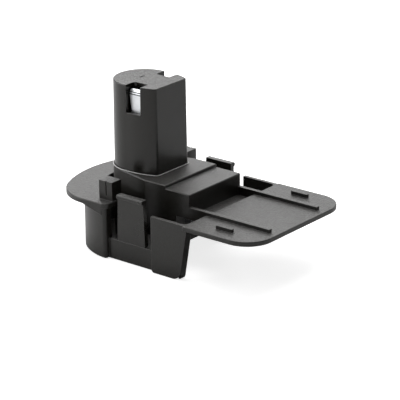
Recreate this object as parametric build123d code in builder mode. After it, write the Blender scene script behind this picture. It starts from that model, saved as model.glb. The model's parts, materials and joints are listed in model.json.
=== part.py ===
from build123d import *
import math
import os

os.makedirs("parts", exist_ok=True)

# Overall sizes, in millimetres: X runs from the rear flange to the free end of the deck, Z is up
overall_length = 141.1
deck_height = 30.4
deck_width = 80.4
deck_thickness = 2.6
deck_corner_radius = 15.0
deck_edge_round = 0.5
flange_width = 80.6
flange_thickness = 2.6
flange_corner_centre = 15.0
flange_end_bulge = 3.6

# Common moulding values
shell_wall = 2.1
joint_gap = 0.15
cut_overrun = 1.0
edge_round = 0.5
edge_chamfer = 0.35

# Stem that plugs into the tool
stem_setback = 37.8
stem_height = 47.0
stem_radius = 15.95
stem_front = 19.4
stem_front_half_width = 12.65
stem_straight = 4.0
stem_corner_radius = 2.0
stem_draft_angle = 0.35
stem_wall = 2.4
stem_roof = 2.5
stem_top_chamfer = 0.3
stem_boss_radius = 2.8
stem_boss_height = 10.0
gate_mark_length = 4.0
gate_mark_width = 1.3
gate_mark_depth = 0.35
gate_mark_setback = 1.2
gate_mark_side = 0.75

# Contact windows in the stem
window_start = 1.5
window_width = 9.3
window_height = 15.05
window_depth = 7.5
window_corner_radius = 2.0

# Block of two tiers round the foot of the stem
tier_half_width = 21.1
tier_rear = 17.6
tier_step = 31.7
block_front = 47.8
rear_tier_height = 10.5
front_tier_height = 8.8
column_ledge = 0.6
seat_ring_height = 0.5
block_wall = 2.2
tier_roof = 2.5

# Deck features
deck_window_length = 10.7
rib_thickness = 2.15
rib_height = 1.9
rib_setback = 4.55
pad_length = 10.1
pad_width = 1.8
pad_height = 1.95
pad_centre_from_end = 24.45
pad_side_offset = 31.4
bridge_thickness = 2.0
bridge_lap = 2.0
gap_corner_radius = 3.0

# Legs and battery dock under the deck
leg_inset = 1.0
leg_rear = 36.9
leg_front_top = 60.7
leg_front_foot = 55.4
leg_wall = 1.9
leg_rear_corner = 1.6
leg_front_corner = 5.5
leg_return_depth = 4.6
leg_return_width = 2.2
rail_depth = 2.6
rail_height = 3.0
rail_level = 4.0
bulkhead_thickness = 2.0
bulkhead_side_drop = 8.0

# Rear tub with its flange
tower_half_width = 40.0
tower_corner_centre = 10.0
tower_end_bulge = 3.8
tower_tip_inset = 9.7
tower_front = 6.7
tower_edge_radius = 2.0
side_half_width = 37.4
tub_floor = 2.0
tub_foot_chamfer = 0.9
side_foot_chamfer = 0.5
floor_front = 21.5
flange_front = 7.6
moat_radius = 22.2
skirt_front = 4.2
skirt_drop = 3.8
slot_floor_height = 11.2

# Guide tabs on the flange
tab_length = 8.9
tab_width = 7.3
tab_height = 10.3
tab_side_offset = 27.2
tab_front_setback = 0.6
tab_groove_width = 0.8
tab_groove_depth = 0.9
tab_groove_from_rear = 4.5
tab_groove_foot = 2.4

# Latch arms
latch_rear_top = 13.5
latch_top_width = 16.9
latch_root_spread = 0.9
latch_thickness = 2.5
latch_height = 6.4
latch_hook_reach = 1.1
latch_hook_height = 2.4
latch_hook_round = 0.9
latch_root_gap = 0.05
latch_flex_angle = 5.5
latch_rib_width = 1.4
latch_rib_depth = 1.6
latch_rib_foot = 2.0
latch_rib_height = 9.0
latch_rib_spacing = 8.0

# Carrier and contacts inside the stem
carrier_rear = 4.0
carrier_front = 10.8
carrier_half_width = 8.4
carrier_top_gap = 0.3
carrier_core = 3.0
carrier_pocket_margin = 2.4
contact_thickness = 0.8
contact_strip_width = 4.0
contact_strip_start = 3.4
contact_shelf_start = 1.8
contact_shelf_width = 8.7
contact_shelf_reach = 12.9
contact_shelf_drop = 0.35
contact_shelf_thickness = 0.4
contact_tail_length = 8.0
contact_tail_width = 3.0
leaf_thickness = 0.4
leaf_gap = 0.06
leaf_lean = 0.4
leaf_straight = 9.6
leaf_bend_rise = 1.5
leaf_bend_reach = 0.7
leaf_height = 13.0
leaf_tip_reach = 2.6
leaf_edge_taper = 1.3

# Dock terminals
terminal_window_half_width = 14.5
terminal_window_low = 12.6
terminal_window_height = 9.6
terminal_body_length = 10.0
terminal_lip = 2.4
terminal_lip_thickness = 2.0
blade_spacing = 18.0
blade_thickness = 0.8
blade_width = 7.0
blade_reach = 10.2
blade_level = 13.9
blade_tip_chamfer = 1.2
tail_length = 4.2
tail_width = 3.0
sense_width = 4.0
sense_reach = 7.5
key_wall_thickness = 1.6
key_wall_reach = 6.0

# Circuit board behind the terminal block
board_thickness = 1.6
board_half_width = 15.6
board_height = 11.6
board_slot_gap = 0.1
resistor_length = 3.2
resistor_width = 1.6
resistor_height = 0.7

# Leads and their sleeves
lead_diameter = 2.6
lead_bend_radius = 3.0
sleeve_wall = 0.4
sleeve_gap = 0.35
sleeve_length = 7.0

# Screws
screw_shank_radius = 1.2
screw_pilot_gap = 0.05
screw_head_radius = 2.8
screw_head_height = 1.8
screw_length = 10.0
screw_recess_wall = 1.2
screw_clearance = 0.3
screw_boss_radius = 3.2
screw_boss_height = 11.0
screw_pad_radius = 4.3
screw_rear_offset = 7.8
screw_rear_spacing = 14.0
screw_front_offset = 15.3
screw_front_spacing = 24.0
stem_screw_rear = 11.3
stem_screw_front = 14.5
stem_screw_spacing = 15.0
stem_screw_length = 9.0
stem_screw_head_radius = 2.4
stem_screw_head_height = 1.6
board_screw_spacing = 9.0
board_screw_level = 3.4
board_screw_radius = 1.0
board_screw_head_radius = 1.9
board_screw_head_height = 1.3
board_screw_length = 7.0
drive_recess_width = 0.7
drive_recess_depth = 0.8

# Places that follow from the sizes
rear_x = -overall_length / 2
deck_end_x = overall_length / 2
stem_x = rear_x + stem_setback
deck_top = deck_height
deck_underside = deck_top - deck_thickness
rear_tier_top = deck_top + rear_tier_height
front_tier_top = deck_top + front_tier_height
stem_top = rear_tier_top + stem_height
window_floor = stem_top - window_height
tier_rear_x = stem_x + tier_rear
tier_step_x = stem_x + tier_step
block_front_x = stem_x + block_front
deck_start_x = block_front_x + deck_window_length
leg_rear_x = stem_x + leg_rear
stop_face_x = leg_rear_x + bulkhead_thickness
deck_half_width = deck_width / 2
leg_half_width = deck_half_width - leg_inset
leg_inner = leg_half_width - leg_wall
flange_half_width = flange_width / 2
flange_underside = deck_top - flange_thickness
tub_front_x = leg_rear_x - joint_gap
tower_front_x = stem_x + tower_front
flange_front_x = stem_x + flange_front
tower_tip_x = rear_x + tower_tip_inset
side_inner = side_half_width - shell_wall
floor_front_x = stem_x + floor_front
shelf_underside = slot_floor_height - tub_floor
column_foot = tub_floor
column_radius = stem_radius + column_ledge
column_front_x = floor_front_x - shell_wall - joint_gap
roof_underside = rear_tier_top - tier_roof
bridge_underside = deck_underside - bridge_thickness


# Rectangle between two X and two Y places
def span_rectangle(low_x, high_x, low_y, high_y, mode=Mode.ADD):
    with Locations(((low_x + high_x) / 2, (low_y + high_y) / 2)):
        Rectangle(high_x - low_x, high_y - low_y, mode=mode)


# Plan of a shell with a square front and a rear end of three tangent arcs
def bowed_end_face(half_width, corner_y, end_bulge, tip_x, front_x):
    corner_radius = half_width - corner_y
    corner_x = tip_x + corner_radius + end_bulge
    reach = (corner_y**2 / end_bulge - end_bulge) / 2
    end_radius = corner_radius + end_bulge + reach
    end_x = tip_x + end_radius
    join_angle = math.atan2(corner_y, -reach)
    join_x = end_x + end_radius * math.cos(join_angle)
    join_y = end_radius * math.sin(join_angle)
    middle_angle = (join_angle + math.pi / 2) / 2
    middle_x = corner_x + corner_radius * math.cos(middle_angle)
    middle_y = corner_y + corner_radius * math.sin(middle_angle)
    far_x = max(front_x, corner_x) + cut_overrun
    with BuildSketch() as plan:
        with BuildLine():
            Line((far_x, -half_width), (far_x, half_width))
            Line((far_x, half_width), (corner_x, half_width))
            ThreePointArc((corner_x, half_width), (middle_x, middle_y), (join_x, join_y))
            ThreePointArc((join_x, join_y), (tip_x, 0), (join_x, -join_y))
            ThreePointArc((join_x, -join_y), (middle_x, -middle_y), (corner_x, -half_width))
            Line((corner_x, -half_width), (far_x, -half_width))
        make_face()
        span_rectangle(
            front_x,
            far_x + cut_overrun,
            -half_width - cut_overrun,
            half_width + cut_overrun,
            mode=Mode.SUBTRACT,
        )
    return plan.sketch


# D-shaped section of the stem, grown or shrunk all round, placed on the stem's axis
def stem_face(growth):
    with BuildSketch() as section:
        with BuildLine():
            ThreePointArc((0, stem_radius), (-stem_radius, 0), (0, -stem_radius))
            Line((stem_front, -stem_front_half_width), (stem_front, stem_front_half_width))
            for side in (-1, 1):
                flank = Line((0, side * stem_radius), (stem_straight, side * stem_radius))
                TangentArc(flank @ 1, (stem_front, side * stem_front_half_width), tangent=flank % 1)
        make_face()
        fillet(section.vertices().group_by(Axis.X)[-1], stem_corner_radius)
        offset(amount=growth, mode=Mode.REPLACE)
    return section.sketch.moved(Location((stem_x, 0, 0)))


# Plan of the column and block: round behind the stem, flanks straight on to the block's rear corners
def block_face(front_x):
    reach = math.hypot(tier_rear, tier_half_width)
    bearing = math.atan2(tier_half_width, tier_rear) + math.acos(column_radius / reach)
    middle = (bearing + math.pi) / 2
    with BuildSketch() as half_plan:
        with BuildLine():
            rear = ThreePointArc(
                (stem_x - column_radius, 0),
                (stem_x + column_radius * math.cos(middle), column_radius * math.sin(middle)),
                (stem_x + column_radius * math.cos(bearing), column_radius * math.sin(bearing)),
            )
            Polyline(
                rear @ 1,
                (tier_rear_x, tier_half_width),
                (front_x, tier_half_width),
                (front_x, 0),
                rear @ 0,
            )
        make_face()
        mirror(about=Plane.XZ)
    return half_plan.sketch


# Upper housing: block of two tiers, bridge, deck, legs, rails and bulkhead in one moulding
with BuildPart() as deck_plate:
    with BuildSketch(Plane.XY.offset(deck_underside)) as deck_plan:
        span_rectangle(deck_start_x, deck_end_x, -deck_half_width, deck_half_width)
        fillet(deck_plan.vertices().group_by(Axis.X)[-1], deck_corner_radius)
    extrude(amount=deck_thickness)
    free_edges = deck_plate.edges().filter_by_position(
        Axis.X, deck_start_x + cut_overrun, deck_end_x
    )
    fillet(free_edges.group_by(Axis.Z)[-1], deck_edge_round)
    chamfer(free_edges.group_by(Axis.Z)[0], edge_chamfer)

with BuildPart() as tiers:
    with BuildSketch(Plane.XY.offset(column_foot)):
        add(block_face(stop_face_x))
        span_rectangle(
            column_front_x,
            stop_face_x + cut_overrun,
            -tier_half_width - cut_overrun,
            tier_half_width + cut_overrun,
            mode=Mode.SUBTRACT,
        )
    extrude(amount=slot_floor_height - column_foot)
    with BuildSketch(Plane.XY.offset(slot_floor_height)):
        add(block_face(stop_face_x))
    extrude(amount=bridge_underside - slot_floor_height)
    with BuildSketch(Plane.XY.offset(bridge_underside)):
        add(block_face(block_front_x))
    extrude(amount=front_tier_top - bridge_underside)
    with BuildSketch(Plane.XY.offset(bridge_underside)):
        add(block_face(tier_step_x))
    extrude(amount=rear_tier_top - bridge_underside)
    front_corners = tiers.edges().filter_by(Axis.Z).group_by(Axis.X)[-1]
    fillet(front_corners, edge_round)
    chamfer(tiers.faces().sort_by(Axis.Z)[-1].outer_wire().edges(), edge_chamfer)
    front_top = tiers.faces().filter_by(Axis.Z).filter_by_position(
        Axis.Z, front_tier_top - edge_round, front_tier_top + edge_round
    )[0]
    top_outline = front_top.outer_wire().edges().filter_by_position(
        Axis.X, tier_step_x + edge_round, block_front_x
    )
    chamfer(top_outline, edge_chamfer)

with BuildPart() as leg:
    leg_plane = Plane.XZ.offset(leg_inner)
    leg_outline = [
        (leg_rear_x, 0),
        (stem_x + leg_front_foot, 0),
        (stem_x + leg_front_top, deck_top),
        (leg_rear_x, deck_top),
    ]
    with BuildSketch(leg_plane) as leg_face:
        with BuildLine():
            Polyline(*leg_outline, close=True)
        make_face()
        span_rectangle(
            deck_start_x + cut_overrun,
            stem_x + leg_front_top + cut_overrun,
            deck_underside + edge_round,
            deck_top + cut_overrun,
            mode=Mode.SUBTRACT,
        )
        foot_corners = leg_face.vertices().group_by(Axis.Y)[0].sort_by(Axis.X)
        fillet(foot_corners[0], leg_rear_corner)
        foot_corners = leg_face.vertices().group_by(Axis.Y)[0].sort_by(Axis.X)
        fillet(foot_corners[-1], leg_front_corner)
    extrude(amount=leg_wall)
    with BuildSketch(leg_plane) as return_face:
        with BuildLine():
            Polyline(
                (stem_x + leg_front_foot - leg_return_width, 0),
                (stem_x + leg_front_foot, 0),
                (stem_x + leg_front_top, deck_top),
                (stem_x + leg_front_top - leg_return_width, deck_top),
                close=True,
            )
        make_face()
        span_rectangle(
            leg_rear_x,
            stem_x + leg_front_top + cut_overrun,
            deck_underside + edge_round,
            deck_top + cut_overrun,
            mode=Mode.SUBTRACT,
        )
        return_foot = return_face.vertices().group_by(Axis.Y)[0].sort_by(Axis.X)[-1]
        fillet(return_foot, leg_return_width - joint_gap)
    extrude(amount=-(leg_return_depth - leg_wall))
    with BuildSketch(leg_plane) as rail_face:
        with BuildLine():
            Polyline(
                (stop_face_x - bulkhead_thickness, rail_level),
                (stem_x + leg_front_foot, rail_level),
                (stem_x + leg_front_foot, rail_level + rail_height),
                (stop_face_x - bulkhead_thickness, rail_level + rail_height),
                close=True,
            )
        make_face()
        rail_nose = rail_face.vertices().group_by(Axis.X)[-1].sort_by(Axis.Y)[-1]
        chamfer(rail_nose, rail_height / 2)
    extrude(amount=-rail_depth)

with BuildPart() as upper_housing:
    add(tiers.part)
    with BuildSketch(Plane.XY.offset(bridge_underside)):
        span_rectangle(leg_rear_x, deck_start_x + bridge_lap, -tier_half_width, tier_half_width)
    extrude(amount=bridge_thickness)
    add(deck_plate.part)
    with BuildSketch(Plane.XY.offset(deck_underside - edge_round)):
        for side in (-1, 1):
            span_rectangle(
                block_front_x - cut_overrun,
                deck_end_x - rib_setback,
                min(side * tier_half_width, side * (tier_half_width - rib_thickness)),
                max(side * tier_half_width, side * (tier_half_width - rib_thickness)),
            )
    extrude(amount=deck_thickness + edge_round + rib_height)
    with BuildSketch(Plane.XY.offset(deck_top - edge_round)):
        with Locations(
            (deck_end_x - pad_centre_from_end, pad_side_offset),
            (deck_end_x - pad_centre_from_end, -pad_side_offset),
        ):
            Rectangle(pad_length, pad_width)
    extrude(amount=edge_round + pad_height)
    # The ribs stay above the underside of the deck past the bridge
    with BuildSketch(Plane.XY.offset(bridge_underside)):
        span_rectangle(
            deck_start_x + bridge_lap, deck_end_x, -tier_half_width - joint_gap, tier_half_width + joint_gap
        )
    extrude(amount=bridge_thickness, mode=Mode.SUBTRACT)
    # Rounded front corners of the two gaps beside the block
    with BuildSketch(Plane.XY.offset(deck_underside)):
        for side in (-1, 1):
            gap_corner = side * (leg_inner - gap_corner_radius)
            leg_middle = side * (leg_inner + leg_wall / 2)
            span_rectangle(
                deck_start_x - gap_corner_radius,
                deck_start_x + cut_overrun,
                min(gap_corner, leg_middle),
                max(gap_corner, leg_middle),
            )
            with Locations((deck_start_x - gap_corner_radius, gap_corner)):
                Circle(gap_corner_radius, mode=Mode.SUBTRACT)
    extrude(amount=deck_thickness)
    # Bulkhead that stops the battery and ties the legs to the column
    bulkhead_top = deck_top - bulkhead_side_drop
    with BuildSketch(Plane.YZ.offset(leg_rear_x)):
        with Locations((0, (shelf_underside + bulkhead_top) / 2)):
            Rectangle(leg_inner * 2 + leg_wall, bulkhead_top - shelf_underside)
        with Locations((0, (shelf_underside + bridge_underside) / 2)):
            Rectangle(tier_half_width * 2, bridge_underside - shelf_underside)
    extrude(amount=bulkhead_thickness)
    add(leg.part)
    mirror(leg.part, about=Plane.XZ)
    # Inside of the column and of the two tiers
    with BuildSketch(Plane.XY.offset(column_foot)):
        with Locations((stem_x, 0)):
            Circle(column_radius - block_wall)
        span_rectangle(
            stem_x,
            column_front_x - block_wall,
            block_wall - column_radius,
            column_radius - block_wall,
        )
    extrude(amount=slot_floor_height - column_foot, mode=Mode.SUBTRACT)
    with BuildSketch(Plane.XY.offset(slot_floor_height)):
        add(block_face(leg_rear_x + block_wall))
        offset(amount=-block_wall, mode=Mode.REPLACE)
    extrude(amount=front_tier_top - tier_roof - slot_floor_height, mode=Mode.SUBTRACT)
    with BuildSketch(Plane.XY.offset(deck_underside)):
        add(block_face(tier_step_x + block_wall))
        offset(amount=-block_wall, mode=Mode.REPLACE)
    extrude(amount=roof_underside - deck_underside, mode=Mode.SUBTRACT)
    with BuildSketch(Plane.XY.offset(deck_underside)):
        add(block_face(block_front_x))
        offset(amount=-block_wall, mode=Mode.REPLACE)
    extrude(amount=front_tier_top - tier_roof - deck_underside, mode=Mode.SUBTRACT)
    # Window for the dock terminals
    with BuildSketch(Plane.YZ.offset(leg_rear_x - cut_overrun)):
        with Locations((0, terminal_window_low + terminal_window_height / 2)):
            Rectangle(terminal_window_half_width * 2, terminal_window_height)
    extrude(amount=bulkhead_thickness + cut_overrun * 2, mode=Mode.SUBTRACT)
    # Ring that locates the foot of the stem
    with BuildSketch(Plane.XY.offset(rear_tier_top - edge_round)):
        add(stem_face(column_ledge))
    extrude(amount=edge_round + seat_ring_height)
    with BuildSketch(Plane.XY.offset(rear_tier_top)):
        add(stem_face(joint_gap))
    extrude(amount=seat_ring_height, mode=Mode.SUBTRACT)
    # Bosses for the housing screws: the rear pair up to the roof, the front pair in the corners
    rear_screws = [
        (stem_x - screw_rear_offset, -screw_rear_spacing / 2),
        (stem_x - screw_rear_offset, screw_rear_spacing / 2),
    ]
    front_screws = [
        (stem_x + screw_front_offset, -screw_front_spacing / 2),
        (stem_x + screw_front_offset, screw_front_spacing / 2),
    ]
    boss_foot = tub_floor * 2
    with BuildSketch(Plane.XY.offset(boss_foot)):
        with Locations(*rear_screws):
            Circle(screw_boss_radius)
    extrude(amount=roof_underside - boss_foot)
    with BuildSketch(Plane.XY.offset(boss_foot)):
        with Locations(*front_screws):
            Circle(screw_boss_radius)
    extrude(amount=screw_boss_height)
    with BuildSketch(Plane.XY.offset(boss_foot)):
        with Locations(*rear_screws, *front_screws):
            Circle(screw_shank_radius + screw_pilot_gap)
    extrude(amount=screw_length, mode=Mode.SUBTRACT)
    # Room under the column's foot for the pads on the tub's floor
    with BuildSketch(Plane.XY.offset(column_foot - cut_overrun)):
        with Locations(*rear_screws, *front_screws):
            Circle(screw_pad_radius + joint_gap)
    extrude(amount=boss_foot - column_foot + cut_overrun, mode=Mode.SUBTRACT)
    # Roof holes for the stem's screws and for the contact tails
    stem_screws_at = [
        (stem_x - stem_screw_rear, 0),
        (stem_x + stem_screw_front, -stem_screw_spacing / 2),
        (stem_x + stem_screw_front, stem_screw_spacing / 2),
    ]
    tail_x = stem_x + contact_strip_start + contact_strip_width / 2
    tail_y = carrier_half_width - contact_thickness / 2
    with BuildSketch(Plane.XY.offset(roof_underside - cut_overrun)):
        with Locations(*stem_screws_at):
            Circle(screw_shank_radius + screw_clearance)
        with Locations((tail_x, tail_y), (tail_x, -tail_y)):
            Rectangle(contact_strip_width + screw_clearance, contact_thickness + screw_clearance)
    extrude(amount=tier_roof + cut_overrun * 2, mode=Mode.SUBTRACT)
upper_housing.part.label = "upper_housing"
export_step(upper_housing.part, "parts/upper_housing.step")

# Rear tub: flange with guide tabs, half-round tower, recessed side walls and floor
with BuildPart() as tower_shell:
    with BuildSketch():
        add(
            bowed_end_face(
                tower_half_width, tower_corner_centre, tower_end_bulge, tower_tip_x, tower_front_x
            )
        )
    extrude(amount=flange_underside)
    fillet(tower_shell.edges().filter_by(Axis.Z).group_by(Axis.X)[-1], tower_edge_radius)
    chamfer(tower_shell.edges().group_by(Axis.Z)[0], tub_foot_chamfer)

with BuildPart() as rear_tub:
    add(tower_shell.part)
    with BuildSketch(Plane.YZ.offset(tower_front_x - tower_edge_radius * 2)) as side_profile:
        with Locations((0, slot_floor_height / 2)):
            Rectangle(side_half_width * 2, slot_floor_height)
        chamfer(side_profile.vertices().group_by(Axis.Y)[0], side_foot_chamfer)
    extrude(amount=tub_front_x - tower_front_x + tower_edge_radius * 2)
    # Hollow of the tub, deep behind the step and shallow over the shelf
    with BuildSketch(Plane.XY.offset(tub_floor)):
        add(
            bowed_end_face(
                tower_half_width - shell_wall,
                tower_corner_centre,
                tower_end_bulge,
                tower_tip_x + shell_wall,
                tower_front_x - shell_wall,
            )
        )
        span_rectangle(
            tower_front_x - shell_wall * 2, floor_front_x - shell_wall, -side_inner, side_inner
        )
    extrude(amount=deck_top, mode=Mode.SUBTRACT)
    # Room under the shelf for the back of the battery
    with BuildSketch(Plane.XY.offset(-cut_overrun)):
        span_rectangle(floor_front_x, tub_front_x + cut_overrun, -side_inner, side_inner)
    extrude(amount=shelf_underside + cut_overrun, mode=Mode.SUBTRACT)
    # Flange, its deepening side skirts and the moat round the column
    with BuildSketch(Plane.XY.offset(flange_underside)) as flange_plan:
        add(
            bowed_end_face(
                flange_half_width, flange_corner_centre, flange_end_bulge, rear_x, flange_front_x
            )
        )
        fillet(flange_plan.vertices().group_by(Axis.X)[-1], flange_front - skirt_front)
    extrude(amount=flange_thickness)
    flange_outline = rear_tub.faces().sort_by(Axis.Z)[-1].outer_wire().edges()
    chamfer(flange_outline, edge_chamfer)
    skirt_rear_x = rear_x + flange_half_width - flange_corner_centre + flange_end_bulge
    skirt_front_x = stem_x + skirt_front
    for side in (-1, 1):
        with BuildSketch(Plane.XZ.offset(side * flange_half_width)):
            with BuildLine():
                Polyline(
                    (skirt_rear_x, flange_underside),
                    (skirt_front_x, flange_underside - skirt_drop),
                    (skirt_front_x, flange_underside),
                    close=True,
                )
            make_face()
        extrude(amount=-side * (flange_half_width - side_half_width))
    with BuildSketch(Plane.XY.offset(flange_underside - cut_overrun)):
        with Locations((stem_x, 0)):
            Circle(moat_radius)
        span_rectangle(stem_x, flange_front_x + cut_overrun, -moat_radius, moat_radius)
    extrude(amount=flange_thickness + cut_overrun * 2, mode=Mode.SUBTRACT)
    # Pads and counterbored holes for the housing screws
    with BuildSketch():
        with Locations(*rear_screws, *front_screws):
            Circle(screw_pad_radius)
    extrude(amount=boss_foot)
    with BuildSketch(Plane.XY.offset(-cut_overrun)):
        with Locations(*rear_screws, *front_screws):
            Circle(screw_shank_radius + screw_clearance)
    extrude(amount=boss_foot + cut_overrun * 2, mode=Mode.SUBTRACT)
    with BuildSketch():
        with Locations(*rear_screws, *front_screws):
            Circle(screw_head_radius + screw_clearance)
    extrude(amount=boss_foot - screw_recess_wall, mode=Mode.SUBTRACT)
    # Guide tabs with the groove down their outer face
    tab_front_x = flange_front_x - tab_front_setback
    tab_rear_x = tab_front_x - tab_length
    with BuildSketch(Plane.XY.offset(deck_top - edge_chamfer)):
        for side in (-1, 1):
            tab_inner = side * tab_side_offset
            tab_outer = side * (tab_side_offset + tab_width)
            span_rectangle(
                tab_rear_x, tab_front_x, min(tab_inner, tab_outer), max(tab_inner, tab_outer)
            )
    extrude(amount=edge_chamfer + tab_height)
    groove_x = tab_rear_x + tab_groove_from_rear
    with BuildSketch(Plane.XY.offset(deck_top + tab_groove_foot)):
        for side in (-1, 1):
            groove_floor = side * (tab_side_offset + tab_width - tab_groove_depth)
            groove_mouth = side * (tab_side_offset + tab_width + cut_overrun)
            span_rectangle(
                groove_x,
                groove_x + tab_groove_width,
                min(groove_floor, groove_mouth),
                max(groove_floor, groove_mouth),
            )
    extrude(amount=tab_height, mode=Mode.SUBTRACT)
rear_tub.part.label = "rear_tub"
export_step(rear_tub.part, "parts/rear_tub.step")

# Stem housing: tapered D-shaped tube, closed on top, with a contact window in each flank
with BuildPart() as stem_housing:
    with BuildSketch(Plane.XY.offset(rear_tier_top)):
        add(stem_face(0.0))
    extrude(amount=stem_height, taper=stem_draft_angle)
    chamfer(stem_housing.faces().sort_by(Axis.Z)[-1].outer_wire().edges(), stem_top_chamfer)
    with BuildSketch(Plane.XY.offset(rear_tier_top)):
        add(stem_face(-stem_wall))
    extrude(amount=stem_height - stem_roof, mode=Mode.SUBTRACT)
    with BuildSketch(Plane.XY.offset(rear_tier_top)):
        with Locations(*stem_screws_at):
            Circle(stem_boss_radius)
    extrude(amount=stem_boss_height)
    with BuildSketch(Plane.XY.offset(rear_tier_top)):
        with Locations(*stem_screws_at):
            Circle(screw_shank_radius + screw_pilot_gap)
    extrude(amount=stem_boss_height - edge_round, mode=Mode.SUBTRACT)
    window_low_x = stem_x + window_start
    for side in (-1, 1):
        with BuildSketch(Plane.XY.offset(window_floor)) as window_plan:
            window_inner = side * (stem_radius - window_depth)
            window_outer = side * (stem_radius + cut_overrun)
            span_rectangle(
                window_low_x,
                window_low_x + window_width,
                min(window_inner, window_outer),
                max(window_inner, window_outer),
            )
            inner_rear = window_plan.vertices().sort_by(lambda corner: abs(corner.Y))[:2]
            fillet(inner_rear.sort_by(Axis.X)[0], window_corner_radius)
        extrude(amount=window_height + cut_overrun, mode=Mode.SUBTRACT)
    with BuildSketch(Plane.XY.offset(stem_top - gate_mark_depth)):
        with Locations((stem_x - gate_mark_setback, gate_mark_side)):
            SlotOverall(gate_mark_length, gate_mark_width, rotation=90)
    extrude(amount=gate_mark_depth + cut_overrun, mode=Mode.SUBTRACT)
stem_housing.part.label = "stem_housing"
export_step(stem_housing.part, "parts/stem_housing.step")

# Latch arms: sprung tongues between the side slots, with an outward hook and two inner ribs
latch_rear_x = stem_x + latch_rear_top
latch_front_x = latch_rear_x + latch_top_width
latch_top = deck_top + latch_height
latch_inner = side_half_width - latch_thickness
latch_foot = slot_floor_height + latch_root_gap
latch_foot_inner = latch_foot + latch_thickness * math.tan(math.radians(latch_flex_angle)) * 2
with BuildPart() as latch_right:
    with BuildSketch(Plane.YZ.offset(latch_rear_x - latch_root_spread)) as latch_side:
        with BuildLine():
            Polyline(
                (-side_half_width, latch_foot),
                (-side_half_width, latch_top - latch_hook_height),
                (-side_half_width - latch_hook_reach, latch_top - latch_hook_height + latch_hook_reach / 2),
                (-side_half_width - latch_hook_reach, latch_top),
                (-latch_inner, latch_top),
                (-latch_inner, latch_foot_inner),
                close=True,
            )
        make_face()
        fillet(latch_side.vertices().group_by(Axis.Y)[-1].sort_by(Axis.X)[0], latch_hook_round)
    extrude(amount=latch_top_width + latch_root_spread * 2)
    latch_mid_x = (latch_rear_x + latch_front_x) / 2
    rib_low = latch_foot_inner + latch_rib_foot
    rib_high = rib_low + latch_rib_height
    for offset_x in (-latch_rib_spacing / 2, latch_rib_spacing / 2):
        with BuildSketch(Plane.YZ.offset(latch_mid_x + offset_x - latch_rib_width / 2)):
            with BuildLine():
                Polyline(
                    (-latch_inner - edge_round, rib_low),
                    (-latch_inner, rib_low),
                    (-latch_inner + latch_rib_depth, rib_low + latch_rib_depth),
                    (-latch_inner + latch_rib_depth / 2, rib_high),
                    (-latch_inner, rib_high + latch_rib_depth / 2),
                    (-latch_inner - edge_round, rib_high),
                    close=True,
                )
            make_face()
        extrude(amount=latch_rib_width)
    with BuildSketch(Plane.XZ.offset(latch_inner - latch_rib_depth - cut_overrun)):
        with BuildLine():
            Polyline(
                (latch_rear_x - latch_root_spread, latch_foot - cut_overrun),
                (latch_front_x + latch_root_spread, latch_foot - cut_overrun),
                (latch_front_x, latch_top + cut_overrun),
                (latch_rear_x, latch_top + cut_overrun),
                close=True,
            )
        make_face()
    extrude(
        amount=latch_thickness + latch_rib_depth + latch_hook_reach + cut_overrun * 2,
        mode=Mode.INTERSECT,
    )
latch_right.part.label = "latch_right"
export_step(latch_right.part, "parts/latch_right.step")

with BuildPart() as latch_left:
    mirror(latch_right.part, about=Plane.XZ)
latch_left.part.label = "latch_left"
export_step(latch_left.part, "parts/latch_left.step")

# Contact carrier: I-shaped insulator that stands in the stem between the two contacts
carrier_top = stem_top - stem_roof - carrier_top_gap
with BuildPart() as contact_carrier:
    with BuildSketch(Plane.XY.offset(rear_tier_top)):
        span_rectangle(
            stem_x - carrier_rear, stem_x + carrier_front, -carrier_half_width, carrier_half_width
        )
        for side in (-1, 1):
            groove_floor = side * (carrier_half_width - contact_thickness)
            groove_mouth = side * (carrier_half_width + cut_overrun)
            span_rectangle(
                stem_x + contact_strip_start - joint_gap,
                stem_x + contact_strip_start + contact_strip_width + joint_gap,
                min(groove_floor, groove_mouth),
                max(groove_floor, groove_mouth),
                mode=Mode.SUBTRACT,
            )
    extrude(amount=carrier_top - rear_tier_top)
    # Cored out from the front to keep an even wall
    with BuildSketch(Plane.YZ.offset(stem_x + carrier_front)):
        core_low = rear_tier_top + carrier_pocket_margin
        core_high = carrier_top - carrier_pocket_margin
        with Locations((0, (core_low + core_high) / 2)):
            Rectangle(
                (carrier_half_width - contact_thickness - carrier_pocket_margin) * 2,
                core_high - core_low,
            )
    extrude(amount=-(carrier_front + carrier_rear - carrier_core), mode=Mode.SUBTRACT)
contact_carrier.part.label = "contact_carrier"
export_step(contact_carrier.part, "parts/contact_carrier.step")

# Fixed part of each stem contact: strip down the carrier, shelf under the leaf, solder tail
shelf_top = window_floor - contact_shelf_drop
tail_end = roof_underside - contact_tail_length
with BuildPart() as contact_base_right:
    strip_outer = -carrier_half_width
    strip_inner = -(carrier_half_width - contact_thickness)
    with BuildSketch(Plane.XY.offset(roof_underside)):
        span_rectangle(
            stem_x + contact_strip_start,
            stem_x + contact_strip_start + contact_strip_width,
            strip_outer,
            strip_inner,
        )
    extrude(amount=shelf_top - roof_underside)
    with BuildSketch(Plane.XY.offset(shelf_top - contact_shelf_thickness)):
        span_rectangle(
            stem_x + contact_shelf_start,
            stem_x + contact_shelf_start + contact_shelf_width,
            -contact_shelf_reach,
            strip_outer,
        )
    extrude(amount=contact_shelf_thickness)
    with BuildSketch(Plane.XY.offset(tail_end)):
        with Locations((tail_x, -tail_y)):
            Rectangle(contact_tail_width, contact_thickness)
    extrude(amount=contact_tail_length)
contact_base_right.part.label = "contact_base_right"
export_step(contact_base_right.part, "parts/contact_base_right.step")

with BuildPart() as contact_base_left:
    mirror(contact_base_right.part, about=Plane.XZ)
contact_base_left.part.label = "contact_base_left"
export_step(contact_base_left.part, "parts/contact_base_left.step")

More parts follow.
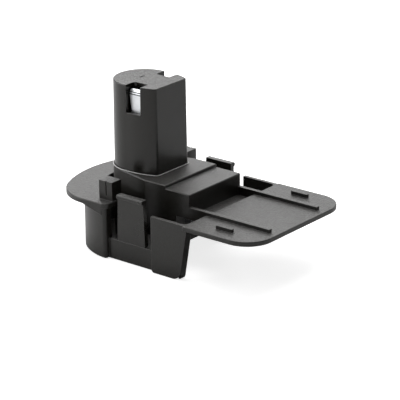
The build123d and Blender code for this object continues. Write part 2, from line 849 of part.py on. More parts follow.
# Sprung leaf of each stem contact: leans outwards, then bends in twice towards its tip
leaf_foot = shelf_top + leaf_gap
leaf_root_y = contact_shelf_reach - leaf_thickness / 2
with BuildPart() as contact_leaf_right:
    with BuildSketch(Plane.YZ.offset(stem_x + contact_shelf_start)):
        with BuildLine():
            Polyline(
                (-leaf_root_y, leaf_foot),
                (-leaf_root_y - leaf_lean, leaf_foot + leaf_straight),
                (-leaf_root_y - leaf_lean + leaf_bend_reach, leaf_foot + leaf_straight + leaf_bend_rise),
                (-leaf_root_y + leaf_tip_reach, leaf_foot + leaf_height),
            )
        trace(line_width=leaf_thickness)
        span_rectangle(
            -contact_shelf_reach - stem_radius,
            stem_radius,
            leaf_foot - cut_overrun,
            leaf_foot,
            mode=Mode.SUBTRACT,
        )
    extrude(amount=contact_shelf_width)
    # The rear edge narrows towards the root
    with BuildSketch(Plane.XZ.offset(0)):
        with BuildLine():
            Polyline(
                (stem_x + contact_shelf_start - cut_overrun, leaf_foot - cut_overrun),
                (stem_x + contact_shelf_start + leaf_edge_taper, leaf_foot - cut_overrun),
                (stem_x + contact_shelf_start + leaf_edge_taper, leaf_foot),
                (stem_x + contact_shelf_start, leaf_foot + leaf_straight),
                (stem_x + contact_shelf_start - cut_overrun, leaf_foot + leaf_straight),
                close=True,
            )
        make_face()
    extrude(amount=stem_radius, mode=Mode.SUBTRACT)
contact_leaf_right.part.label = "contact_leaf_right"
export_step(contact_leaf_right.part, "parts/contact_leaf_right.step")

with BuildPart() as contact_leaf_left:
    mirror(contact_leaf_right.part, about=Plane.XZ)
contact_leaf_left.part.label = "contact_leaf_left"
export_step(contact_leaf_left.part, "parts/contact_leaf_left.step")

# Terminal block: plug in the bulkhead's window, lipped behind it, with key walls for the battery
terminal_low = terminal_window_low + joint_gap
terminal_high = terminal_window_low + terminal_window_height - joint_gap
terminal_half_width = terminal_window_half_width - joint_gap
terminal_rear_x = stop_face_x - terminal_body_length
terminal_mid = (terminal_low + terminal_high) / 2
blade_centre = blade_level + blade_width / 2
board_screw_z = terminal_high - board_screw_level
with BuildPart() as terminal_block:
    with BuildSketch(Plane.YZ.offset(terminal_rear_x)):
        with Locations((0, terminal_mid)):
            Rectangle(terminal_half_width * 2, terminal_high - terminal_low)
    extrude(amount=terminal_body_length)
    with BuildSketch(Plane.YZ.offset(leg_rear_x - terminal_lip_thickness)):
        with Locations((0, terminal_mid)):
            Rectangle(
                (terminal_half_width + terminal_lip) * 2, terminal_high - terminal_low + terminal_lip
            )
    extrude(amount=terminal_lip_thickness)
    # Key walls beside the sense blade
    with BuildSketch(Plane.YZ.offset(stop_face_x - edge_round)):
        with Locations((-blade_spacing / 4, terminal_mid), (blade_spacing / 4, terminal_mid)):
            Rectangle(key_wall_thickness, terminal_high - terminal_low)
    extrude(amount=edge_round + key_wall_reach)
    # Slots for the blades, right through, and pilot holes for the board's screws
    with BuildSketch(Plane.YZ.offset(terminal_rear_x - cut_overrun)):
        with Locations((-blade_spacing / 2, blade_centre), (blade_spacing / 2, blade_centre)):
            Rectangle(blade_thickness, blade_width)
        with Locations((0, blade_centre)):
            Rectangle(blade_thickness, sense_width)
    extrude(amount=terminal_body_length + cut_overrun * 2, mode=Mode.SUBTRACT)
    with BuildSketch(Plane.YZ.offset(terminal_rear_x)):
        with Locations(
            (-board_screw_spacing / 2, board_screw_z), (board_screw_spacing / 2, board_screw_z)
        ):
            Circle(board_screw_radius + screw_pilot_gap)
    extrude(amount=board_screw_length, mode=Mode.SUBTRACT)
terminal_block.part.label = "terminal_block"
export_step(terminal_block.part, "parts/terminal_block.step")


# Flat blade terminal with a pointed nose and a narrow solder tail behind the board
def blade_terminal(centre_y, width, reach, tail):
    nose_x = stop_face_x + reach
    with BuildPart() as blade:
        with BuildSketch(Plane.XZ.offset(-centre_y - blade_thickness / 2)) as blade_side:
            span_rectangle(
                terminal_rear_x, nose_x, blade_centre - width / 2, blade_centre + width / 2
            )
            chamfer(blade_side.vertices().group_by(Axis.X)[-1], blade_tip_chamfer)
            span_rectangle(
                terminal_rear_x - board_thickness - tail,
                terminal_rear_x,
                blade_centre - tail_width / 2,
                blade_centre + tail_width / 2,
            )
        extrude(amount=blade_thickness)
    return blade.part


with BuildPart() as terminal_positive:
    add(blade_terminal(blade_spacing / 2, blade_width, blade_reach, tail_length))
terminal_positive.part.label = "terminal_positive"
export_step(terminal_positive.part, "parts/terminal_positive.step")

with BuildPart() as terminal_negative:
    add(blade_terminal(-blade_spacing / 2, blade_width, blade_reach, tail_length))
terminal_negative.part.label = "terminal_negative"
export_step(terminal_negative.part, "parts/terminal_negative.step")

with BuildPart() as terminal_sense:
    add(blade_terminal(0, sense_width, sense_reach, contact_thickness))
terminal_sense.part.label = "terminal_sense"
export_step(terminal_sense.part, "parts/terminal_sense.step")

# Circuit board flat against the back of the terminal block
board_rear_x = terminal_rear_x - board_thickness
with BuildPart() as circuit_board:
    with BuildSketch(Plane.YZ.offset(board_rear_x)):
        with Locations((0, terminal_mid)):
            Rectangle(board_half_width * 2, board_height)
        with Locations(
            (-blade_spacing / 2, blade_centre), (0, blade_centre), (blade_spacing / 2, blade_centre)
        ):
            Rectangle(
                blade_thickness + board_slot_gap * 2, tail_width + board_slot_gap * 2, mode=Mode.SUBTRACT
            )
        with Locations(
            (-board_screw_spacing / 2, board_screw_z), (board_screw_spacing / 2, board_screw_z)
        ):
            Circle(board_screw_radius + board_slot_gap, mode=Mode.SUBTRACT)
    extrude(amount=board_thickness)
circuit_board.part.label = "circuit_board"
export_step(circuit_board.part, "parts/circuit_board.step")

# Sense resistor on the back of the board
with BuildPart() as sense_resistor:
    with BuildSketch(Plane.YZ.offset(board_rear_x)):
        with Locations((0, blade_centre - sense_width)):
            Rectangle(resistor_length, resistor_width)
    extrude(amount=-resistor_height)
sense_resistor.part.label = "sense_resistor"
export_step(sense_resistor.part, "parts/sense_resistor.step")


# Lead from a blade's tail up to the contact's tail, on one side of the stem
blade_tail_x = board_rear_x - tail_length


def lead_solid(side):
    with BuildPart() as lead:
        with BuildLine() as route:
            FilletPolyline(
                (tail_x, side * tail_y, tail_end),
                (tail_x, side * tail_y, blade_centre),
                (blade_tail_x, side * blade_spacing / 2, blade_centre),
                radius=lead_bend_radius,
            )
        with BuildSketch(Plane(origin=route.line @ 0, z_dir=route.line % 0)):
            Circle(lead_diameter / 2)
        sweep()
    return lead.part


with BuildPart() as lead_positive:
    add(lead_solid(1))
lead_positive.part.label = "lead_positive"
export_step(lead_positive.part, "parts/lead_positive.step")

with BuildPart() as lead_negative:
    add(lead_solid(-1))
lead_negative.part.label = "lead_negative"
export_step(lead_negative.part, "parts/lead_negative.step")


# Pair of shrink sleeves over one lead's two soldered ends
def sleeve_pair(side):
    bore = lead_diameter / 2 + sleeve_gap
    upper_end = Plane(origin=(tail_x, side * tail_y, tail_end + sleeve_length / 2), z_dir=(0, 0, -1))
    lower_end = Plane(
        origin=(blade_tail_x + tail_length - joint_gap, side * blade_spacing / 2, blade_centre),
        z_dir=(-1, 0, 0),
    )
    with BuildPart() as sleeves:
        for end in (upper_end, lower_end):
            with BuildSketch(end):
                Circle(bore + sleeve_wall)
                Circle(bore, mode=Mode.SUBTRACT)
            extrude(amount=sleeve_length)
    return sleeves.part


with BuildPart() as sleeves_positive:
    add(sleeve_pair(1))
sleeves_positive.part.label = "sleeves_positive"
export_step(sleeves_positive.part, "parts/sleeves_positive.step")

with BuildPart() as sleeves_negative:
    add(sleeve_pair(-1))
sleeves_negative.part.label = "sleeves_negative"
export_step(sleeves_negative.part, "parts/sleeves_negative.step")


# Pan-head screws at several places, heads at the plane's origin side and shanks along its normal
def screw_set(plane, places, shank_radius, length, head_radius, head_height):
    with BuildPart() as screws:
        with BuildSketch(plane.offset(-head_height)):
            with Locations(*places):
                Circle(head_radius)
        extrude(amount=head_height)
        with BuildSketch(plane):
            with Locations(*places):
                Circle(shank_radius)
        extrude(amount=length)
        with BuildSketch(plane.offset(-head_height)):
            with Locations(*places):
                Rectangle(head_radius, drive_recess_width)
                Rectangle(drive_recess_width, head_radius)
        extrude(amount=drive_recess_depth, mode=Mode.SUBTRACT)
    return screws.part


with BuildPart() as housing_screws:
    add(
        screw_set(
            Plane.XY.offset(boss_foot - screw_recess_wall),
            rear_screws + front_screws,
            screw_shank_radius,
            screw_length,
            screw_head_radius,
            screw_head_height,
        )
    )
housing_screws.part.label = "housing_screws"
export_step(housing_screws.part, "parts/housing_screws.step")

with BuildPart() as stem_screws:
    add(
        screw_set(
            Plane.XY.offset(roof_underside),
            stem_screws_at,
            screw_shank_radius,
            stem_screw_length,
            stem_screw_head_radius,
            stem_screw_head_height,
        )
    )
stem_screws.part.label = "stem_screws"
export_step(stem_screws.part, "parts/stem_screws.step")

with BuildPart() as board_screws:
    add(
        screw_set(
            Plane.YZ.offset(board_rear_x),
            [(-board_screw_spacing / 2, board_screw_z), (board_screw_spacing / 2, board_screw_z)],
            board_screw_radius,
            board_screw_length,
            board_screw_head_radius,
            board_screw_head_height,
        )
    )
board_screws.part.label = "board_screws"
export_step(board_screws.part, "parts/board_screws.step")
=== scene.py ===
import json
import math

import bmesh
import bpy
from mathutils import Matrix, Vector


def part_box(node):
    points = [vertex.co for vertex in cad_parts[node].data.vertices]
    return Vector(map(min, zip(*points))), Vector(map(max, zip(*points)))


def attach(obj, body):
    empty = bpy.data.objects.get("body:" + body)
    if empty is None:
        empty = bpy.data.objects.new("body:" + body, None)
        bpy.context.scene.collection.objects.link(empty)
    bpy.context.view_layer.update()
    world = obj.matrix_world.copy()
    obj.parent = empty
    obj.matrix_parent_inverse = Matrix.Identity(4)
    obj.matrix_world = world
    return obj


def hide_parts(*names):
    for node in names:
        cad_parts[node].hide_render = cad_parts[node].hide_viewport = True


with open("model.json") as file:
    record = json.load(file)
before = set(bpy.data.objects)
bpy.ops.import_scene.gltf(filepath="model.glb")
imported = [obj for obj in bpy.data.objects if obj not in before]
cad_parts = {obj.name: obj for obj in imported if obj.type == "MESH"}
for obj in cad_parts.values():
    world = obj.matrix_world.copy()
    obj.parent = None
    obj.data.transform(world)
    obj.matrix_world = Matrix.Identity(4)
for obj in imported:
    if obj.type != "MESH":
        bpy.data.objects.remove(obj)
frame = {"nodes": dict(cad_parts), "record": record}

MM = 0.001
FRAME_PIXELS = 400
SENSOR_MM = 36.0

# Camera fitted to the photograph: direction from the object, roll, place and focal length
CAMERA_AZIMUTH = math.radians(39.27)
CAMERA_ELEVATION = math.radians(20.42)
CAMERA_ROLL = math.radians(-0.676)
CAMERA_PLACE = Vector((646.06, -784.39, 405.23)) * MM
CAMERA_REACH = 20.0
FOCAL_PIXELS = 2074.5

# Studio: the white wall stands behind the object and fades in between two cosines from its
# direction, the room in front of it is dimmer, and only a share of both lights the object
BACKDROP_SIDE = (-0.6, 0.74, 0.3)
WALL_FADE = (-0.2, 0.55)
WALL_DIM = 0.3
AMBIENT = 0.25
WHITE = (1.0, 1.0, 1.0, 1.0)

# Pale floor just under the object, lifted to white for the camera alone
FLOOR_HALF = 3.0
FLOOR_DROP = 0.2 * MM
FLOOR_COLOUR = (0.8, 0.8, 0.8, 1.0)
FLOOR_ROUGHNESS = 0.9
FLOOR_LIFT = 0.8

# Soft lights: place, point they aim at, size, and power in watts
SOFTBOXES = {
    "top_softbox": ((-0.2, 0.25, 0.9), (0.0, 0.0, 0.05), (0.9, 0.9), 7.5),
    "left_softbox": ((-0.85, -0.55, 0.45), (0.0, 0.0, 0.04), (0.7, 0.9), 5.5),
    "rear_softbox": ((-0.9, 0.9, 0.72), (0.0, 0.0, 0.05), (1.0, 0.6), 4.5),
}

# Bands of noise values that a pattern is made from, and the full range of a share
NOISE_BAND = (0.35, 0.65)
WIDE_BAND = (0.3, 0.7)
GRAIN_BAND = (0.4, 0.6)
TARNISH_BAND = (0.4, 0.7)
SHARE = (0.0, 1.0)

# Noise cells per metre
CLOUD_SCALE = 45.0
PATCH_SCALE = 30.0
SMEAR_SCALE = 120.0
GRAIN_SCALE = 1100.0
FINE_SCALE = 2600.0
TARNISH_SCALE = 300.0
ROLL_SCALE = 900.0
MOTTLE_SCALE = 400.0
WAX_SCALE = 1500.0

# Rolled strip: its lines run along the height
ROLL_STRETCH = (8.0, 8.0, 0.4)

# How far the roughness of each kind of material varies below and above its own value
SMEAR_SPREAD = (-0.015, 0.015)
METAL_SPREAD = (-0.06, 0.08)
WAX_SPREAD = (-0.05, 0.08)

# Moulded edges: radius they are rounded to, and cosines between which a turn counts as an edge
EDGE_ROUND = 0.4 * MM
EDGE_SAMPLES = 6
EDGE_TURN = (0.96, 0.8)

# Upward part of the normal between which a face comes to count as a top
TOP_TURN = (0.7, 0.95)

# Colours of the black plastic, of its rubbed edges (partly wear, partly a painted highlight) and
# of the tips of its grain (paler as a painted sheen), how much paler its clouds are, and the share
# of the tips that its patches leave
BLACK = (0.0098, 0.0088, 0.0068)
RUBBED_HIGHLIGHT = (0.15, 0.149, 0.145)
GRAIN_TIP_SHEEN = (0.16, 0.159, 0.156)
CLOUD_GAIN = 1.35
PATCH_SHARE = (0.7, 1.0)

# Insulation: how much paler its mottling is
MOTTLE_GAIN = 1.3
MOTTLE_LIFT = 0.01

# Depth of the finest surface bump
FINE_BUMP = 0.02 * MM

# Pressed contact leaf. Each row gives its rise above the foot and its inset from the outermost
# line, in mm, and whether the strip that ends there is a crease painted dark, a painted dark
# reflection. The tip curls inwards over its last rows, whose rise is measured down from the top.
LEAF_THICKNESS = 0.4 * MM
LEAF_ROUND = 0.1 * MM
LEAF_ROUND_SEGMENTS = 2
LEAF_ROUND_ANGLE = math.radians(60.0)
LEAF_TRIM = 0.4 * MM
LEAF_TAPER = 0.8 * MM
LEAF_ROWS = (
    (0.0, 0.4, False),
    (9.94, 0.0, False),
    (10.2, 0.19, True),
    (10.46, 0.07, True),
    (11.136, 0.19, False),
    (11.4, 0.38, True),
    (11.66, 0.26, True),
    (11.92, 0.45, False),
)
LEAF_TIP = ((0.3, 1.0), (0.0, 1.9))

# Lip round the stem's seat, coloured pale as a painted highlight: its radius and roundness, the
# distance within which points of the seat's mesh are one, and how far below the seat's top its flat
# face may reach
LIP_RADIUS = 0.22 * MM
LIP_RINGS = 2
SEAT_WELD = 0.001 * MM
SEAT_FLAT = 0.01 * MM

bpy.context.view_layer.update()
nodes = frame["nodes"]


# Node material helpers


def new_material(name):
    material = bpy.data.materials.new(name)
    material.use_nodes = True
    tree = material.node_tree
    tree.nodes.clear()
    output = tree.nodes.new("ShaderNodeOutputMaterial")
    shader = tree.nodes.new("ShaderNodeBsdfPrincipled")
    tree.links.new(shader.outputs["BSDF"], output.inputs["Surface"])
    return material, tree, shader


def noise(tree, scale, detail=2.0, roughness=0.5, stretch=(1.0, 1.0, 1.0)):
    place = tree.nodes.new("ShaderNodeTexCoord")
    mapping = tree.nodes.new("ShaderNodeMapping")
    mapping.inputs["Scale"].default_value = stretch
    texture = tree.nodes.new("ShaderNodeTexNoise")
    texture.inputs["Scale"].default_value = scale
    texture.inputs["Detail"].default_value = detail
    texture.inputs["Roughness"].default_value = roughness
    tree.links.new(place.outputs["Object"], mapping.inputs["Vector"])
    tree.links.new(mapping.outputs["Vector"], texture.inputs["Vector"])
    return texture.outputs["Fac"]


def map_range(tree, value, source=NOISE_BAND, target=SHARE):
    node = tree.nodes.new("ShaderNodeMapRange")
    names = ("From Min", "From Max", "To Min", "To Max")
    for name, limit in zip(names, (*source, *target)):
        node.inputs[name].default_value = limit
    tree.links.new(value, node.inputs["Value"])
    return node.outputs["Result"]


# Roughness that follows a noise within a spread round its own value
def varied_roughness(tree, value, centre, spread):
    low, high = spread
    return map_range(tree, value, WIDE_BAND, (centre + low, centre + high))


def mix_colours(tree, factor, first, second):
    node = tree.nodes.new("ShaderNodeMix")
    node.data_type = "RGBA"
    tree.links.new(factor, node.inputs["Factor"])
    for name, colour in (("A", first), ("B", second)):
        socket = [s for s in node.inputs if s.name == name and s.type == "RGBA"][0]
        if isinstance(colour, tuple):
            socket.default_value = (*colour, 1.0)
        else:
            tree.links.new(colour, socket)
    return [s for s in node.outputs if s.type == "RGBA"][0]


# A sum, product or maximum of two values, each a number or a node's output
def combine(tree, operation, first, second):
    node = tree.nodes.new("ShaderNodeMath")
    node.operation = operation
    for socket, value in zip(node.inputs, (first, second)):
        if isinstance(value, float):
            socket.default_value = value
        else:
            tree.links.new(value, socket)
    return node.outputs["Value"]


def bump(tree, height, distance, strength, under=None):
    node = tree.nodes.new("ShaderNodeBump")
    node.inputs["Distance"].default_value = distance
    node.inputs["Strength"].default_value = strength
    tree.links.new(height, node.inputs["Height"])
    if under is not None:
        tree.links.new(under, node.inputs["Normal"])
    return node.outputs["Normal"]


# Normal rounded over the moulded edges, and how far it turns from the flat face there
def rounded_edges(tree):
    geometry = tree.nodes.new("ShaderNodeNewGeometry")
    rounded = tree.nodes.new("ShaderNodeBevel")
    rounded.samples = EDGE_SAMPLES
    rounded.inputs["Radius"].default_value = EDGE_ROUND
    turn = tree.nodes.new("ShaderNodeVectorMath")
    turn.operation = "DOT_PRODUCT"
    tree.links.new(rounded.outputs["Normal"], turn.inputs[0])
    tree.links.new(geometry.outputs["True Normal"], turn.inputs[1])
    return rounded.outputs["Normal"], map_range(tree, turn.outputs["Value"], EDGE_TURN)


def facing_up(tree):
    geometry = tree.nodes.new("ShaderNodeNewGeometry")
    split = tree.nodes.new("ShaderNodeSeparateXYZ")
    tree.links.new(geometry.outputs["True Normal"], split.inputs["Vector"])
    return map_range(tree, split.outputs["Z"], TOP_TURN)


# Moulded plastic: smooth on upright faces, spark-eroded grain with paler tips on faces that look
# up, the paleness a painted sheen of light on the tops. Edges take a paler rubbed colour, partly
# wear and partly a painted highlight. The tips' shares say how far they cover each kind of face,
# contrast how much they vary.
def moulded_plastic(
    name,
    colour,
    rubbed_highlight,
    side_roughness,
    top_roughness,
    side_tip_sheen=0.0,
    top_tip_sheen=0.1,
    contrast=0.5,
    grain_depth=0.1 * MM,
):
    material, tree, shader = new_material(name)
    up = facing_up(tree)
    tint = tuple(min(1.0, c * CLOUD_GAIN) for c in colour)
    base = mix_colours(tree, map_range(tree, noise(tree, CLOUD_SCALE, 3.0)), colour, tint)
    rounded, edge = rounded_edges(tree)
    # Edges mixed to the paler rubbed colour: partly wear, partly a painted highlight
    worn_and_highlit = mix_colours(tree, edge, base, rubbed_highlight)

    grain = noise(tree, GRAIN_SCALE, roughness=0.6)
    patches = map_range(tree, noise(tree, PATCH_SCALE), target=PATCH_SHARE)
    speckle = map_range(tree, grain, GRAIN_BAND, (1.0 - contrast, 1.0))
    tips = combine(tree, "MULTIPLY", speckle, patches)
    # Tips cover faces that look up more: a painted sheen of light on the tops
    share = map_range(tree, up, SHARE, (side_tip_sheen, top_tip_sheen))
    tips_with_top_sheen = mix_colours(tree, combine(tree, "MULTIPLY", tips, share), worn_and_highlit, GRAIN_TIP_SHEEN)
    tree.links.new(tips_with_top_sheen, shader.inputs["Base Color"])

    side = varied_roughness(tree, noise(tree, SMEAR_SCALE), side_roughness, SMEAR_SPREAD)
    rougher = combine(tree, "MULTIPLY", up, top_roughness - side_roughness)
    tree.links.new(combine(tree, "ADD", side, rougher), shader.inputs["Roughness"])

    normal = bump(tree, noise(tree, FINE_SCALE, roughness=0.6), FINE_BUMP, 0.6, rounded)
    normal = bump(tree, combine(tree, "MULTIPLY", grain, up), grain_depth, 1.0, normal)
    tree.links.new(normal, shader.inputs["Normal"])
    return material


# Rolled and plated strip: fine lines along the roll, duller patches
def plated_metal(name, colour, dull, roughness):
    material, tree, shader = new_material(name)
    tarnish = map_range(tree, noise(tree, TARNISH_SCALE, 3.0), TARNISH_BAND)
    tree.links.new(mix_colours(tree, tarnish, colour, dull), shader.inputs["Base Color"])
    shader.inputs["Metallic"].default_value = 1.0
    lines = noise(tree, ROLL_SCALE, stretch=ROLL_STRETCH)
    rough = varied_roughness(tree, lines, roughness, METAL_SPREAD)
    tree.links.new(rough, shader.inputs["Roughness"])
    tree.links.new(bump(tree, lines, FINE_BUMP, 0.5), shader.inputs["Normal"])
    return material


# Soft insulation: faint waxy mottling
def insulation(name, colour, roughness):
    material, tree, shader = new_material(name)
    mottle = noise(tree, MOTTLE_SCALE)
    paler = tuple(min(1.0, c * MOTTLE_GAIN + MOTTLE_LIFT) for c in colour)
    base = mix_colours(tree, map_range(tree, mottle), colour, paler)
    tree.links.new(base, shader.inputs["Base Color"])
    rough = varied_roughness(tree, mottle, roughness, WAX_SPREAD)
    tree.links.new(rough, shader.inputs["Roughness"])
    tree.links.new(bump(tree, noise(tree, WAX_SCALE), FINE_BUMP, 0.4), shader.inputs["Normal"])
    return material


# Materials: a constructor and its values for each slot, and for the creases, painted dark as a
# painted dark reflection, and the lip, painted pale as a painted highlight
FINISHES = {
    "housing_plastic": (moulded_plastic, {
        "colour": BLACK, "rubbed_highlight": RUBBED_HIGHLIGHT, "side_roughness": 0.32, "top_roughness": 0.42,
        "side_tip_sheen": 0.05, "top_tip_sheen": 0.27, "contrast": 0.7, "grain_depth": 0.5 * MM,
    }),
    "stem_plastic": (moulded_plastic, {
        "colour": BLACK, "rubbed_highlight": RUBBED_HIGHLIGHT, "side_roughness": 0.25, "top_roughness": 0.4,
        "top_tip_sheen": 0.75, "contrast": 0.8, "grain_depth": 1.0 * MM,
    }),
    "latch_plastic": (moulded_plastic, {
        "colour": BLACK, "rubbed_highlight": RUBBED_HIGHLIGHT, "side_roughness": 0.28, "top_roughness": 0.38,
        "side_tip_sheen": 0.05, "top_tip_sheen": 0.2, "grain_depth": 0.4 * MM,
    }),
    "insulator_plastic": (moulded_plastic, {
        "colour": (0.022, 0.022, 0.023), "rubbed_highlight": (0.04, 0.04, 0.04),
        "side_roughness": 0.5, "top_roughness": 0.55, "grain_depth": 0.2 * MM,
    }),
    "contact_nickel": (plated_metal, {
        "colour": (0.9, 0.92, 0.94), "dull": (0.84, 0.86, 0.88), "roughness": 0.36,
    }),
    # Dark colour of the creases: a painted dark reflection
    "contact_crease": (plated_metal, {
        "colour": (0.05, 0.055, 0.06), "dull": (0.09, 0.095, 0.1), "roughness": 0.5,
    }),
    # Pale colour of the lip: a painted highlight
    "seat_lip": (moulded_plastic, {
        "colour": (0.75, 0.745, 0.735), "rubbed_highlight": (0.8, 0.797, 0.79),
        "side_roughness": 0.3, "top_roughness": 0.3, "top_tip_sheen": 0.0,
    }),
    "terminal_tin": (plated_metal, {
        "colour": (0.72, 0.72, 0.72), "dull": (0.58, 0.58, 0.58), "roughness": 0.34,
    }),
    "board_laminate": (moulded_plastic, {
        "colour": (0.02, 0.12, 0.045), "rubbed_highlight": (0.1, 0.2, 0.1),
        "side_roughness": 0.32, "top_roughness": 0.35,
    }),
    "resistor_ceramic": (moulded_plastic, {
        "colour": (0.03, 0.03, 0.035), "rubbed_highlight": (0.2, 0.2, 0.2),
        "side_roughness": 0.38, "top_roughness": 0.4,
    }),
    "lead_red": (insulation, {"colour": (0.42, 0.02, 0.015), "roughness": 0.42}),
    "lead_black": (insulation, {"colour": (0.02, 0.02, 0.02), "roughness": 0.42}),
    "sleeve_shrink": (insulation, {"colour": (0.03, 0.03, 0.032), "roughness": 0.35}),
    "screw_steel": (plated_metal, {
        "colour": (0.6, 0.6, 0.58), "dull": (0.42, 0.42, 0.4), "roughness": 0.36,
    }),
}
materials = {name: make(name, **values) for name, (make, values) in FINISHES.items()}


# Every carried-over node gets its slot's material
for entry in frame["record"]["subparts"]:
    mesh = nodes[entry["node"]].data
    mesh.materials.clear()
    mesh.materials.append(materials[entry["material_slot"]])


# Contact leaf with its two pressed creases, in place of the CAD one; the creases are painted dark,
# a painted dark reflection
def contact_leaf(name, node, body):
    low, high = (Vector(corner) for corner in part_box(node))
    side = 1.0 if low.y > 0.0 else -1.0
    outer = max(abs(low.y), abs(high.y))
    top = high.z - low.z - LEAF_THICKNESS
    rows = [(rise * MM, inset * MM, crease_painted_dark) for rise, inset, crease_painted_dark in LEAF_ROWS]
    rows += [(top - drop * MM, inset * MM, False) for drop, inset in LEAF_TIP]
    straight = rows[1][0]

    mesh = bpy.data.meshes.new(name)
    shape = bmesh.new()
    previous = None
    for rise, inset, crease_painted_dark in rows:
        rear = low.x + LEAF_TRIM + LEAF_TAPER * max(0.0, 1.0 - rise / straight)
        edge = [
            shape.verts.new((x, side * (outer - inset), low.z + rise)) for x in (rear, high.x)
        ]
        if previous is not None:
            order = (previous[0], previous[1], edge[1], edge[0])
            face = shape.faces.new(order if side < 0.0 else order[::-1])
            # Crease strips take the dark material, a painted dark reflection
            face.material_index = int(crease_painted_dark)
        previous = edge
    shape.to_mesh(mesh)
    shape.free()
    mesh.materials.append(materials["contact_nickel"])
    mesh.materials.append(materials["contact_crease"])

    leaf = bpy.data.objects.new(name, mesh)
    bpy.context.scene.collection.objects.link(leaf)
    solid = leaf.modifiers.new("thickness", "SOLIDIFY")
    solid.thickness = LEAF_THICKNESS
    solid.offset = -1.0
    rounding = leaf.modifiers.new("rounding", "BEVEL")
    rounding.width = LEAF_ROUND
    rounding.segments = LEAF_ROUND_SEGMENTS
    rounding.limit_method = "ANGLE"
    rounding.angle_limit = LEAF_ROUND_ANGLE
    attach(leaf, body)
    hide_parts(node)


# Points round the outer edge of the flat top of a node
def top_rim(node, top):
    shape = bmesh.new()
    shape.from_mesh(nodes[node].data)
    bmesh.ops.remove_doubles(shape, verts=shape.verts, dist=SEAT_WELD)
    flat = {f for f in shape.faces if all(v.co.z > top - SEAT_FLAT for v in f.verts)}
    rim = {}
    for edge in shape.edges:
        if sum(f in flat for f in edge.link_faces) == 1:
            for vert, other in (edge.verts, reversed(edge.verts)):
                rim.setdefault(vert, []).append(other)
    start = min(rim, key=lambda vert: vert.co.x)
    loop = [start, rim[start][0]]
    while loop[-1] is not start:
        ahead = [v for v in rim[loop[-1]] if v is not loop[-2]]
        loop.append(ahead[0])
    points = [(vert.co.x, vert.co.y) for vert in loop[:-1]]
    shape.free()
    return points


# Pale lip round the stem's seat, a painted highlight, along the outer edge of the ring's top
def seat_lip(name, node, body):
    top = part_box(node)[1][2]
    points = top_rim(node, top)
    curve = bpy.data.curves.new(name, "CURVE")
    curve.dimensions = "3D"
    curve.bevel_depth = LIP_RADIUS
    curve.bevel_resolution = LIP_RINGS
    spline = curve.splines.new("POLY")
    spline.points.add(len(points) - 1)
    for point, (x, y) in zip(spline.points, points):
        point.co = (x, y, top - LIP_RADIUS, 1.0)
    spline.use_cyclic_u = True
    curve.materials.append(materials["seat_lip"])
    lip = bpy.data.objects.new(name, curve)
    bpy.context.scene.collection.objects.link(lip)
    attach(lip, body)


# Floor, backdrop colour, light and camera


def studio_floor():
    mesh = bpy.data.meshes.new("studio_floor")
    corners = [(x * FLOOR_HALF, y * FLOOR_HALF, 0) for x, y in ((-1, -1), (1, -1), (1, 1), (-1, 1))]
    mesh.from_pydata(corners, [], [(0, 1, 2, 3)])
    floor = bpy.data.objects.new("studio_floor", mesh)
    floor.location.z = -FLOOR_DROP
    bpy.context.scene.collection.objects.link(floor)
    material, tree, shader = new_material("studio_floor")
    shader.inputs["Base Color"].default_value = FLOOR_COLOUR
    shader.inputs["Roughness"].default_value = FLOOR_ROUGHNESS
    path = tree.nodes.new("ShaderNodeLightPath")
    lift = map_range(tree, path.outputs["Is Camera Ray"], SHARE, (0.0, FLOOR_LIFT))
    shader.inputs["Emission Color"].default_value = WHITE
    tree.links.new(lift, shader.inputs["Emission Strength"])
    mesh.materials.append(material)


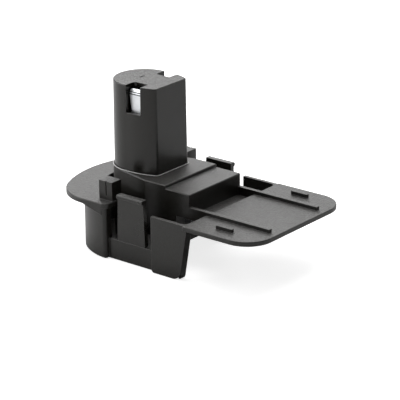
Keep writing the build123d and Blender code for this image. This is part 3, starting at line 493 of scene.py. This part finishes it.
def studio_world():
    world = bpy.data.worlds.new("studio")
    world.use_nodes = True
    bpy.context.scene.world = world
    tree = world.node_tree
    tree.nodes.clear()
    output = tree.nodes.new("ShaderNodeOutputWorld")
    background = tree.nodes.new("ShaderNodeBackground")
    path = tree.nodes.new("ShaderNodeLightPath")
    place = tree.nodes.new("ShaderNodeTexCoord")
    towards = tree.nodes.new("ShaderNodeVectorMath")
    towards.operation = "DOT_PRODUCT"
    towards.inputs[1].default_value = BACKDROP_SIDE
    tree.links.new(place.outputs["Generated"], towards.inputs[0])
    by_camera = path.outputs["Is Camera Ray"]
    wall = map_range(tree, towards.outputs["Value"], WALL_FADE, (WALL_DIM, 1.0))
    plain = combine(tree, "MAXIMUM", by_camera, wall)
    seen = combine(tree, "MAXIMUM", by_camera, path.outputs["Is Glossy Ray"])
    level = map_range(tree, seen, SHARE, (AMBIENT, 1.0))
    background.inputs["Color"].default_value = WHITE
    strength = combine(tree, "MULTIPLY", level, plain)
    tree.links.new(strength, background.inputs["Strength"])
    tree.links.new(background.outputs["Background"], output.inputs["Surface"])


def area_light(name, place, aim, size, power):
    data = bpy.data.lights.new(name, "AREA")
    data.shape = "RECTANGLE"
    data.size, data.size_y = size
    data.energy = power
    lamp = bpy.data.objects.new(name, data)
    lamp.location = place
    lamp.rotation_euler = (Vector(aim) - Vector(place)).to_track_quat("-Z", "Y").to_euler()
    lamp.visible_camera = False
    bpy.context.scene.collection.objects.link(lamp)


def photo_camera():
    away = Vector((
        math.sin(CAMERA_AZIMUTH) * math.cos(CAMERA_ELEVATION),
        -math.cos(CAMERA_AZIMUTH) * math.cos(CAMERA_ELEVATION),
        math.sin(CAMERA_ELEVATION),
    ))
    right = Vector((math.cos(CAMERA_AZIMUTH), math.sin(CAMERA_AZIMUTH), 0.0))
    up = away.cross(right)
    turn = Matrix((right, up, away)).transposed() @ Matrix.Rotation(CAMERA_ROLL, 3, "Z")
    data = bpy.data.cameras.new("photo_camera")
    data.sensor_width = SENSOR_MM
    data.lens = FOCAL_PIXELS / FRAME_PIXELS * SENSOR_MM
    data.clip_end = CAMERA_REACH
    camera = bpy.data.objects.new("photo_camera", data)
    camera.matrix_world = Matrix.Translation(CAMERA_PLACE) @ turn.to_4x4()
    bpy.context.scene.collection.objects.link(camera)
    bpy.context.scene.camera = camera


for side_name in ("left", "right"):
    contact_leaf(f"leaf_{side_name}_pressed", f"contact_leaf_{side_name}", f"{side_name}_leaf")
# Pale lip round the stem's seat, a painted highlight
seat_lip("seat_lip", "upper_housing", "adapter")
studio_floor()
studio_world()
for lamp_name, setting in SOFTBOXES.items():
    area_light(lamp_name, *setting)
photo_camera()
bpy.context.scene.view_settings.view_transform = "Standard"
